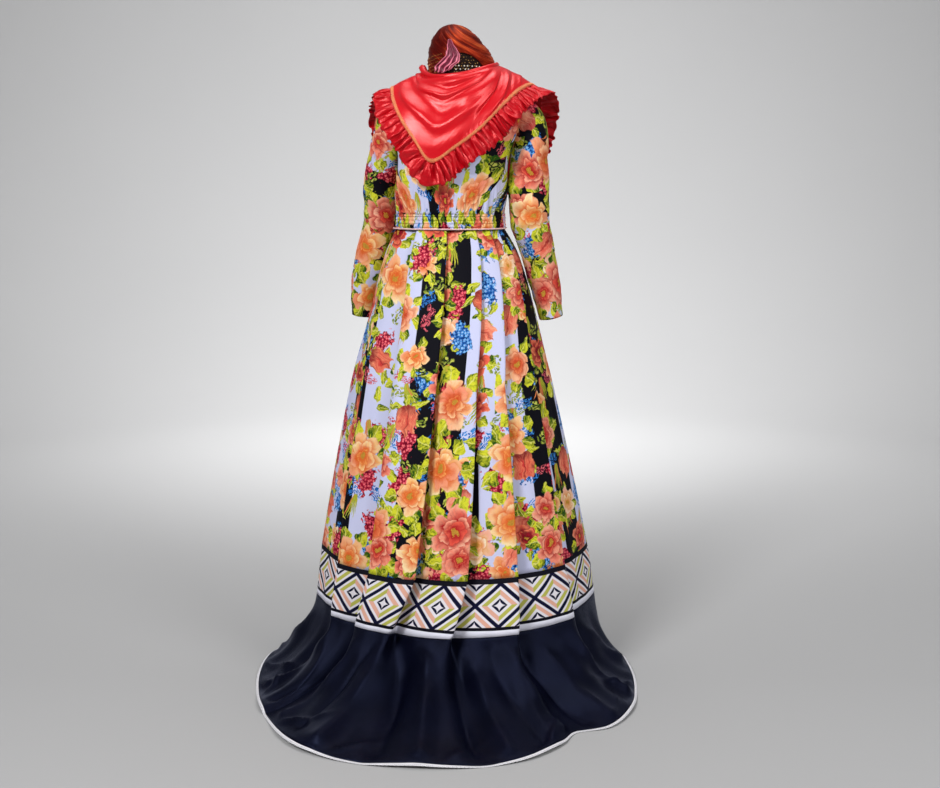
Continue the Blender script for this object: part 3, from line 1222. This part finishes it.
foulard_turns = np.linspace(-179.6, 179.6, 361)
collar = [(0, -15), (0, -8), (0.5, -2.0), (2.4, 2.0), (5.6, 3.2), (8.4, 1.6), (9.8, -1.0), (9.3, -3.4)]
way = np.linalg.norm(foulard_point(foulard_turns, 0.0) - foulard_point(foulard_turns, 1.0), axis=-1)
braid_top = 1 - (BRAID_WIDE + 1) / way
foulard_rows = [torso_point(1372.0, foulard_turns, 3.0)]
foulard_rows += [neck_point(foulard_turns, out, up) for out, up in collar]
foulard_rows += [foulard_point(foulard_turns, share * braid_top) for share in np.linspace(0, 1, 61)]
foulard_rows += [foulard_point(foulard_turns, lerp(braid_top, 1.0, s)) for s in (0.33, 0.67, 1.0)]
foulard_grid = np.array(foulard_rows)
foulard_facing = -grid_normals(foulard_grid)
print("foulard, mm from neck to point:", round(float(way.max())))


# %% [markdown]
# Satin has long floats of yarn on its face, all lying one way. That makes it glossy, with highlights
# that spread out across the yarns and stay short along them. A fine ribbed bump carries the direction
# of the yarns.

# %% Red satin
def red_satin(name, color=(0.82, 0.002, 0.012), deep=(0.50, 0.001, 0.007), gloss=0.75):
    material, g, shader = new_finish(
        name, 0.30, sheen=0.12, sheen_rough=0.3, sheen_tint=(1.0, 0.30, 0.30, 1), gloss=gloss, metal=0.15,
        gloss_tint=(1.0, 0.68, 0.64, 1), lying=0.45,
    )
    watery = g.noise(g.vector("MULTIPLY", g.uv(), (1, 0.35, 1)), 22, 3)
    yarns = g.noise(g.vector("MULTIPLY", g.uv(), (1, 0.04, 1)), 2600, 2)
    g.tree.links.new(g.mix(g.madd(yarns, 0.3, g.mul(watery, 0.7)), deep, color), shader.inputs["Base Color"])
    bump(g, shader, g.add(yarns, g.mul(watery, 6.0)), 0.0004, 0.35)
    return material


satin = red_satin("red satin")
foulard = cloth("foulard_cloth", foulard_grid, flat_uv(foulard_grid), satin, thick=0.9)
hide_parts("foulard")

# %% [markdown]
# The lace braid is sewn flat over the seam between foulard and frill. It is three cords plaited with
# small loops at both edges. A real plait is easy to draw: each cord swings from side to side and dips
# under the others by a sine, a third of a turn after the one before it.

# %% The lace braid
def along_braid(step):
    """Even places along the foulard's edge: middle of the braid, its way across and its facing."""
    inner, edge = foulard_grid[-4], foulard_grid[-1]
    middle, across = (inner + edge) / 2, unit(edge - inner)
    facing = unit(foulard_facing[-2])
    walked = walk(middle)
    at = np.arange(0, walked[-1], step)
    middle, across, facing = (places_at(at, walked, values) for values in (middle, across, facing))
    return at, middle, unit(across), unit(facing)


at, middle, across, facing = along_braid(0.8)
braid_finish = trim_cotton("orange lace braid", (0.95, 0.36, 0.13), (0.74, 0.17, 0.05), 0.55, 0.0008)
for k in range(3):
    phase = 2 * np.pi * (at / 8.0 + k / 3)
    sway, dip = 2.1 * np.sin(phase), 0.45 * np.sin(2 * phase)
    line = middle + across * sway[:, None] + facing * (1.2 + dip)[:, None]
    tube(f"braid_cord_{k + 1}", line, 0.85, braid_finish, sides=6, closed=False)
for side in (-1, 1):
    phase = 2 * np.pi * at / 5.0
    sway = side * (2.6 + 1.8 * np.abs(np.sin(phase / 2)))
    line = middle + across * sway[:, None] + facing * 0.7
    name = "braid_loops_in" if side < 0 else "braid_loops_out"
    tube(name, line, 0.5, braid_finish, sides=5, closed=False)
print("braid, mm long:", round(float(at[-1])))
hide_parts("foulard_braid")

# %% [markdown]
# The frill is a strip of the same satin, gathered to about two thirds of its length along one edge. A
# gathered strip is flat at its seam and puffs into flutes towards its free edge, and no two flutes are
# alike. Seen from its edge a flute is round, and wider at its crown than at its foot, as a bend in a
# river is. So each point of a wave also moves sideways, twice as often as it moves in and out.

# %% The gathered frill
FRILL_WIDE, FRILL_WAVES, PER_WAVE, FRILL_STEPS = 43.0, 64, 16, 17


def frill_grid():
    inner, edge = foulard_grid[-4], foulard_grid[-1]
    normals = unit(foulard_facing[-1])
    along = np.gradient(edge, axis=0)
    away = unit(np.cross(along, normals))
    flip = np.sign(np.sum(away * (edge - inner), axis=1, keepdims=True))
    away = away * flip
    middle = edge + away * 0.6 * FRILL_WIDE
    walked = walk(middle)
    n = FRILL_WAVES * PER_WAVE + 1
    at = np.linspace(0, walked[-1], n)
    spot, away, normal = (places_at(at, walked, values) for values in (edge, away, normals))
    away, normal = unit(away), unit(normal)
    phase = np.linspace(0, FRILL_WAVES, n)
    wander = phase + 0.42 * np.sin(0.83 * phase) + 0.22 * np.sin(2.1 * phase + 1)
    counted = np.arange(-3, FRILL_WAVES + 4)
    uneven = np.interp(wander, counted, 0.50 + 0.85 * np.abs(np.sin(7.7 * counted)))
    turn = 2 * np.pi * wander
    crown = 0.5 + 0.5 * np.sin(turn)
    flat = ease(1.35 * normal[:, 2])
    pull = unit(np.gradient(spot, axis=0))
    rows = []
    for w in np.linspace(0, 1, FRILL_STEPS):
        puff = math.sin(math.pi * min(1.0, 0.08 + 0.80 * w)) ** 0.8
        high = lerp(0.5, 5.6, puff) * uneven * (1 - 0.35 * flat)
        wave = high * np.sin(turn + 1.5 * w * np.sin(1.3 * phase) + 0.8 * w * np.sin(3.1 * phase + 1))
        wave += 1.5 * math.sin(math.pi * min(1, 0.1 + w)) * np.sin(9.4 * phase + 5 * w + 2 * np.sin(phase))
        wave += 1.3 * w * np.sin(4.1 * phase - 8 * w + 1.5 * np.sin(0.6 * phase))
        round_out = -2.7 * puff * uneven * np.sin(2 * turn) + 3.0 * w * np.sin(0.9 * phase + 2.5 * w)
        width = w * FRILL_WIDE * (0.94 + 0.10 * crown * uneven + 0.05 * np.sin(0.7 * phase))
        width -= 1.6 * math.sin(3 * math.pi * w) * np.sin(turn + 1.1)
        curl = -2.6 * (max(0.0, w - 0.72) / 0.28) ** 2 * crown
        row = spot + away * (0.98 * width - 1.2)[:, None]
        row += normal * (wave + 3.6 * w - 1.0 + 0.2 * flat * width + curl)[:, None]
        row += pull * round_out[:, None]
        row[:, 2] -= 0.2 * width * (1 - flat)
        rows.append(row)
    return np.array(rows)


frill_rows = frill_grid()
frill_satin = red_satin("red satin, frill", (0.68, 0.002, 0.012), (0.38, 0.001, 0.006), 0.50)
frill = cloth("foulard_frill_cloth", frill_rows, flat_uv(frill_rows), frill_satin, thick=0.8)
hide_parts("foulard_frill")

# %% [markdown]
# ## The head tie
# The tête en l'air is a length of cloth wound round the head and tucked. Its turns show as slanting
# rolls with a shadow line between them. The crown is a dome, so the rolls are written as one wave that
# climbs as it goes round, and the same number colours the turns of cloth.

# %% The wound head tie
head = table(
    "height half_width half_depth x",
    (1384, 75, 84, 0), (1425, 75, 84, 0.5), (1445, 71, 81, -2.5), (1467, 60, 73, -9),
    (1484, 49, 62, -12.5), (1498, 36, 46, -15), (1507, 22, 28, -17), (1511, 8, 10, -18),
)
tie_edge = table(
    "turn height",
    (-180, 1380), (-135, 1386), (-105, 1397), (-75, 1396), (-45, 1389), (-30, 1402), (-15, 1438),
    (0, 1442), (15, 1438), (30, 1427), (45, 1412), (75, 1410), (105, 1406), (135, 1390), (180, 1380),
)


def head_point(height, turn, out=0.0):
    around = np.radians(turn)
    wide, deep = look_up(head, "half_width", height), look_up(head, "half_depth", height)
    x = look_up(head, "x", height) + (wide + out) * np.sin(around)
    return points(x, 10 - (deep + out) * np.cos(around), height)


def wraps_out(height, turn):
    """How far the wound rolls stand out, and where on a roll a point lies, from 0 to 1."""
    t = np.radians(turn)
    climb = (height - 1384) / 26 + 2.0 * np.sin(t + 0.15) + 0.25 * np.sin(2 * t + 1.2)
    roll = climb - np.floor(climb)
    fade = ease((1511 - height) / 18)
    return fade * (2.8 * np.sin(np.pi * roll) ** 0.6 - 1.4), climb


head_turns = np.linspace(-180, 180, 193)[:-1]
crown_levels = np.concatenate([np.linspace(0, 1, 22), np.linspace(1453, 1504, 24), [1507, 1509, 1510.3, 1511]])
tie_rows, tie_uv = [], []
for level in crown_levels:
    low = look_up(tie_edge, "height", head_turns)
    height = np.full_like(head_turns, level) if level > 1 else lerp(low, np.maximum(low, 1450), level)
    out, climb = wraps_out(height, head_turns)
    crinkle = 0.45 * np.sin(6.283 * 3 * climb + 1.4 * np.sin(head_turns / 19))
    crinkle += 0.3 * np.sin(6.283 * 7 * climb + head_turns / 25)
    tie_rows.append(head_point(height, head_turns, out + crinkle * ease((1511 - height) / 20)))
    tie_uv.append(np.stack([np.append(head_turns, 180) / 360, np.append(climb, climb[0])], axis=-1))
rim = tie_rows[-1]
crown = rim.mean(axis=0)
for shrink, up in ((0.6, 0.3), (0.25, 0.5), (0.03, 0.55)):  # closed over the crown
    tie_rows.append(crown + shrink * (rim - crown) + np.array([0, 0, up]))
    tie_uv.append(tie_uv[-1] + np.array([0, 0.3 * (1 - shrink)]))
tie_grid = np.array(tie_rows)


def wound_cloth():
    """Thin cloth streaked along its turns in maroon, rust and old gold."""
    material, g, shader = new_finish(
        "wound rust cloth", 0.42, gloss=0.10, gloss_tint=(1.0, 0.55, 0.40, 1), metal=0.35
    )
    u, v = g.split(g.uv())
    place = g.join(g.mul(u, 0.30), g.mul(v, 0.060))
    broad = g.noise(g.vector("ADD", place, (0.131, 0.207, 0)), 22, 3)
    fine = g.noise(g.vector("MULTIPLY", place, (0.5, 5.0, 1)), 70, 3)
    right = g.edge(g.add(u, 0.045), 0.10)
    right = g.mul(right, g.edge(g.sub(0.36, u), 0.1))
    warm = g.madd(broad, 2.6, g.madd(right, 0.42, g.madd(fine, 1.0, -1.95)), clamp=True)
    color = g.mix(fine, (0.022, 0.001, 0.001), (0.17, 0.007, 0.005))
    color = g.mix(g.edge(g.sub(warm, 0.25), 0.5), color, (0.44, 0.042, 0.012))
    color = g.mix(g.edge(g.sub(warm, 0.68), 0.45), color, (0.66, 0.21, 0.050))
    g.tree.links.new(color, shader.inputs["Base Color"])
    bump(g, shader, g.add(fine, broad), 0.0012, 0.6)
    return material


head_tie = cloth("wound_head_tie", tie_grid, np.array(tie_uv), wound_cloth(), thick=1.6, wraps=True)
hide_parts("head_tie")

# %% [markdown]
# Right of the tie's loose end the winding lifts, and the black net under it shows, sewn with gold and
# pearl beads. The net is drawn as a dark cloth, and each bead is a small faceted ball of its own.

# %% The beaded net
net_heights = np.linspace(1386, 1447, 14)
net_in = np.interp(net_heights, [1386, 1408, 1430, 1447], [0, 0.8, 1.0, 2.6])
net_grid = np.array([
    head_point(np.full_like(head_turns, height), head_turns, -2.2 - inward)
    for height, inward in zip(net_heights, net_in)
])


def net_cloth():
    material, g, shader = new_finish("black net", 0.7, gloss=0.08)
    u, v = g.split(g.uv())
    mesh_x = g.abs(g.sin(g.mul(g.add(u, v), math.pi / 0.0022)))
    mesh_y = g.abs(g.sin(g.mul(g.sub(u, v), math.pi / 0.0022)))
    thread = g.sub(1.0, g.min(mesh_x, mesh_y))
    g.tree.links.new(g.mix(thread, (0.003, 0.002, 0.002), (0.022, 0.010, 0.008)), shader.inputs["Base Color"])
    bump(g, shader, thread, 0.0004, 0.8)
    return material


net = cloth("beaded_net", net_grid, wrapped_uv(net_grid), net_cloth(), thick=1.0, wraps=True)
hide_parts("head_net")


def beads(name, places, sizes, finish):
    """Small faceted balls joined into one mesh, places in millimetres."""
    rings, sides = 5, 8
    lat = np.linspace(-np.pi / 2, np.pi / 2, rings)
    lon = np.linspace(0, 2 * np.pi, sides + 1)[:-1]
    ball = np.array([[math.cos(a) * math.cos(b), math.cos(a) * math.sin(b), math.sin(a)] for a in lat for b in lon])
    spots, faces = [], []
    for place, size in zip(places, sizes):
        start = len(spots) * len(ball)
        spots.append((np.array(place) + ball * size) * MM - np.array([0, 0, SHOULDER * MM]))
        for i in range(rings - 1):
            for j in range(sides):
                k = (j + 1) % sides
                corners = (i * sides + j, i * sides + k, (i + 1) * sides + k, (i + 1) * sides + j)
                faces.append([start + corner for corner in corners])
    piece = add_object(name, np.concatenate(spots).tolist(), faces, finish)
    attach(piece, "root")
    print(f"{name}: {len(spots)}")
    return piece


def bead_finish(name, color, metal):
    material, g, shader = new_finish(name, 0.25, metal=metal)
    cloudy = g.noise(g.node("ShaderNodeTexCoord", out=3), 700, 2)
    g.tree.links.new(g.mix(cloudy, tuple(c * 0.6 for c in color), color), shader.inputs["Base Color"])
    return material


gold_places, pearl_places = [], []
for row in range(8):
    for k in range(26):
        if row not in (1, 2) and (k + row) % 3 == 0:
            continue
        turn = -14 + 3.8 * k + (1.9 if row % 2 else 0) + 1.1 * math.sin(5 * k + row)
        level = 1400 + 6.4 * row + 0.9 * math.sin(3 * k + 2 * row)
        if level > float(look_up(tie_edge, "height", turn)) - 3:
            continue
        inward = 1.0 + float(np.interp(level, [1386, 1447], [0, 2.6]))
        spot = head_point(np.array(float(level)), np.array(float(turn)), -inward)
        (pearl_places if row in (1, 2) and k % 2 else gold_places).append(spot)
net_count = len(gold_places)
for row in range(6):
    for k in range(22):
        turn, level = -104 + 3.3 * k, 1391 + 7.5 * row + 0.55 * k
        if level < float(look_up(tie_edge, "height", turn)) + 3 or turn > -34:
            continue
        out, _ = wraps_out(np.array(level), np.array(float(turn)))
        gold_places.append(head_point(np.array(level), np.array(float(turn)), float(out) + 0.7))
gold_sizes = [(0.8 + 0.4 * ((i * 7) % 3) / 2) if i < net_count else 0.8 for i in range(len(gold_places))]
gold_beads = beads("gold_beads", gold_places, gold_sizes, bead_finish("gold bead", (0.90, 0.50, 0.13), 0.45))
pearl_finish = bead_finish("pearl bead", (0.95, 0.90, 0.80), 0.0)
pearl_beads = beads("pearl_beads", pearl_places, [1.7] * len(pearl_places), pearl_finish)

# %% [markdown]
# The tie's end is tucked at the crown and hangs down the back in crumpled pleats. It starts narrow
# under the winding and fans out, and its edges are a lighter pink than its plum middle.

# %% The tie's loose end
tail = table(
    "height first last fold",
    (1401, -47, -20, 3.0), (1410, -46, -13, 3.6), (1420, -40, -4, 3.4), (1430, -29, -1, 2.6),
    (1442, -23, -2, 2.0), (1457, -20, -7, 1.4), (1472, -17, -11, 0.4),
)
TAIL_PLEATS = 3.5
tail_heights = np.linspace(1472, 1401, 48)
share = np.linspace(0, 1, 57)
tail_rows = []
for h in tail_heights:
    first, last, fold = (float(look_up(tail, name, h)) for name in ("first", "last", "fold"))
    low = (1472 - h) / 71
    crumple = 0.5 + 0.5 * np.cos(2 * np.pi * (TAIL_PLEATS * share + 0.10 * math.sin(h / 5) * share))
    creases = 0.9 * low * np.sin(h / 1.9 + 7 * share) * np.sin(np.pi * share)
    out = 2.6 + fold * 1.25 * crumple + creases
    level = np.full_like(share, h) + (4.5 * np.sin(8 * share + 0.4) - 3.0) * low**2
    rim = 1.5 * low * math.sin(h / 2.4)
    tail_rows.append(head_point(np.maximum(level, 1399.0), lerp(first + rim, last + 0.7 * rim, share), out))
tail_grid = np.array(tail_rows)
tail_uv = np.stack(np.broadcast_arrays(share[None], np.linspace(0, 0.075, 48)[:, None]), axis=-1)


def plum_cloth():
    material, g, shader = new_finish("plum crinkle", 0.4)
    u, v = g.split(g.uv())
    rim = g.abs(g.madd(u, 2.0, -1.0))
    crinkle = g.noise(g.join(g.mul(u, 0.035), g.mul(v, 0.25)), 420, 3)
    crest = g.cos(g.mul(u, math.tau * TAIL_PLEATS))
    low = g.edge(g.sub(v, 0.040), 0.02)
    color = g.mix(crinkle, (0.07, 0.002, 0.014), (0.24, 0.010, 0.045))
    pink = g.mul(low, g.edge(g.sub(g.madd(crinkle, 0.5, crest), 0.95), 0.4))
    pink = g.max(pink, g.edge(g.sub(g.madd(crinkle, 0.2, rim), 0.98), 0.12))
    g.tree.links.new(g.mix(pink, color, (0.86, 0.22, 0.32)), shader.inputs["Base Color"])
    bump(g, shader, crinkle, 0.0008, 0.7)
    return material


tie_end = cloth("head_tie_tail", tail_grid, tail_uv, plum_cloth(), thick=0.8)
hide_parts("head_tie_end")

# %% [markdown]
# ## The lace round the hem
# A narrow cotton lace edges the train, scalloped on its outer side and pierced with a row of eyelets.
# It lies flat on the floor just past the cloth, and its outer edge is cut in scallops of 8 mm.

# %% The hem lace
def lace_finish():
    material, g, shader = new_finish("white lace", 0.75, sheen=0.2)
    u, v = g.split(g.uv())
    eye = g.vector("LENGTH", g.join(g.wrap(u, 0.002, -0.002), g.sub(v, 0.0052)), out=1)
    hole = g.edge(g.sub(0.00105, eye), 0.0003)
    small = g.vector("LENGTH", g.join(g.wrap(g.add(u, 0.002), 0.002, -0.002), g.sub(v, 0.0022)), out=1)
    hole = g.max(hole, g.edge(g.sub(0.0006, small), 0.0003))
    thread = g.noise(g.uv(), 1400, 2)
    color = g.mix(thread, (0.72, 0.71, 0.76), (0.95, 0.94, 0.97))
    g.tree.links.new(g.mix(hole, color, (0.06, 0.06, 0.09)), shader.inputs["Base Color"])
    bump(g, shader, g.sub(thread, g.mul(hole, 2.0)), 0.0003, 0.8)
    return material


edge_row, inner_row = all_rows[-1], all_rows[-3]
fine = 4
count = len(edge_row) * fine
closed_edge = np.concatenate([edge_row, edge_row[:1]])
closed_way = unit(np.concatenate([edge_row - inner_row, (edge_row - inner_row)[:1]]) * np.array([1, 1, 0]))
where = np.arange(count) / fine
columns = np.arange(len(closed_edge))
lace_edge, lace_way = places_at(where, columns, closed_edge), unit(places_at(where, columns, closed_way))
walked = lengths_along(np.concatenate([lace_edge, lace_edge[:1]])[None], 1)[0]
scallop = np.abs(np.sin(np.pi * walked[:-1] / 0.008))
lace_rows = []
for s in (0.0, 0.35, 0.7, 1.0):
    reach = 0.4 + s * (4.4 + 1.8 * scallop)
    row = lace_edge + lace_way * reach[:, None]
    row[:, 2] = np.maximum(0.9, lerp(row[:, 2], 0.9, reach / 18))
    lace_rows.append(row)
lace_grid = np.array(lace_rows)
lace_down = np.array([0, 0.0028, 0.0056, 0.008])[:, None]
lace_uv = np.stack(np.broadcast_arrays(walked[None], lace_down), axis=-1)
lace = cloth("hem_lace_edging", lace_grid, lace_uv, lace_finish(), thick=0.8, wraps=True)
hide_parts(*[f"hem_lace_{gore}" for gore in GORES])

# %% [markdown]
# ## Camera, light and floor
# The camera stands behind the wearer, a little above the waist and looking slightly down, as someone
# does who walks up to admire the train. The floor is a pale sheet that curves up into a wall all round,
# so that no horizon shows. Large soft lamps stand in front, and one behind the costume lights only the
# wall, which leaves a glow in the middle of the picture and darker corners.

# %% Camera, lamps and floor
camera_data = bpy.data.cameras.new("camera")
camera_data.sensor_width, camera_data.lens = 36.0, 48.64
camera = bpy.data.objects.new("camera", camera_data)
camera.location = (0.021, -3.000, 1.150 - 1.340)
camera.rotation_euler = (math.radians(90 - 9.36), 0, 0)
bpy.context.scene.collection.objects.link(camera)
bpy.context.scene.camera = camera


def soft_lamp(name, place, aim, size, watts):
    data = bpy.data.lights.new(name, "AREA")
    data.shape, data.size, data.energy = "DISK", size, watts
    lamp = bpy.data.objects.new(name, data)
    lamp.location = place
    lamp.rotation_euler = (Vector(aim) - Vector(place)).to_track_quat("-Z", "Y").to_euler()
    bpy.context.scene.collection.objects.link(lamp)
    return lamp


soft_lamp("key lamp", (-1.7, -2.7, 1.8), (0, 0, -0.4), 1.1, 112)
soft_lamp("fill lamp", (2.3, -2.4, 1.2), (0, 0, -0.6), 1.5, 56)
soft_lamp("top lamp", (0.2, 0.6, 2.4), (0, 0, -0.5), 1.6, 30)
glow = soft_lamp("backdrop lamp", (0, 2.3, 1.1), (0, 4.5, -1.1), 1.2, 140)
glow.visible_camera = False

world = bpy.data.worlds.new("studio")
world.use_nodes = True
world.node_tree.nodes["Background"].inputs[0].default_value = (0.62, 0.62, 0.63, 1)
world.node_tree.nodes["Background"].inputs[1].default_value = 0.36
bpy.context.scene.world = world
bpy.context.scene.view_settings.view_transform = "Standard"

FLOOR_LEVEL, FLAT, CURVE, WALL = -1.3402, 3.4, 2.4, 1.0
profile = [(0.02, 0.0), (FLAT / 2, 0.0), (FLAT, 0.0)]
profile += [(FLAT + CURVE * math.sin(a), CURVE * (1 - math.cos(a))) for a in np.radians(np.arange(6, 91, 6))]
profile.append((FLAT + CURVE, CURVE + WALL))
around = np.radians(np.arange(0, 360, 5))
bowl = [(r * math.sin(a), r * math.cos(a), FLOOR_LEVEL + up) for r, up in profile for a in around]
sides = len(around)
quads = [(i * sides + j, i * sides + (j + 1) % sides, (i + 1) * sides + (j + 1) % sides, (i + 1) * sides + j)
         for i in range(len(profile) - 1) for j in range(sides)]
floor_finish, g, shader = new_finish("studio floor", 0.85, gloss=0.1)
shade = g.noise(g.node("ShaderNodeTexCoord", out=3), 0.7, 2)
g.tree.links.new(g.mix(shade, (0.42, 0.42, 0.423), (0.44, 0.44, 0.443)), shader.inputs["Base Color"])
floor = add_object("floor", bowl, quads + [tuple(range(sides))], floor_finish)
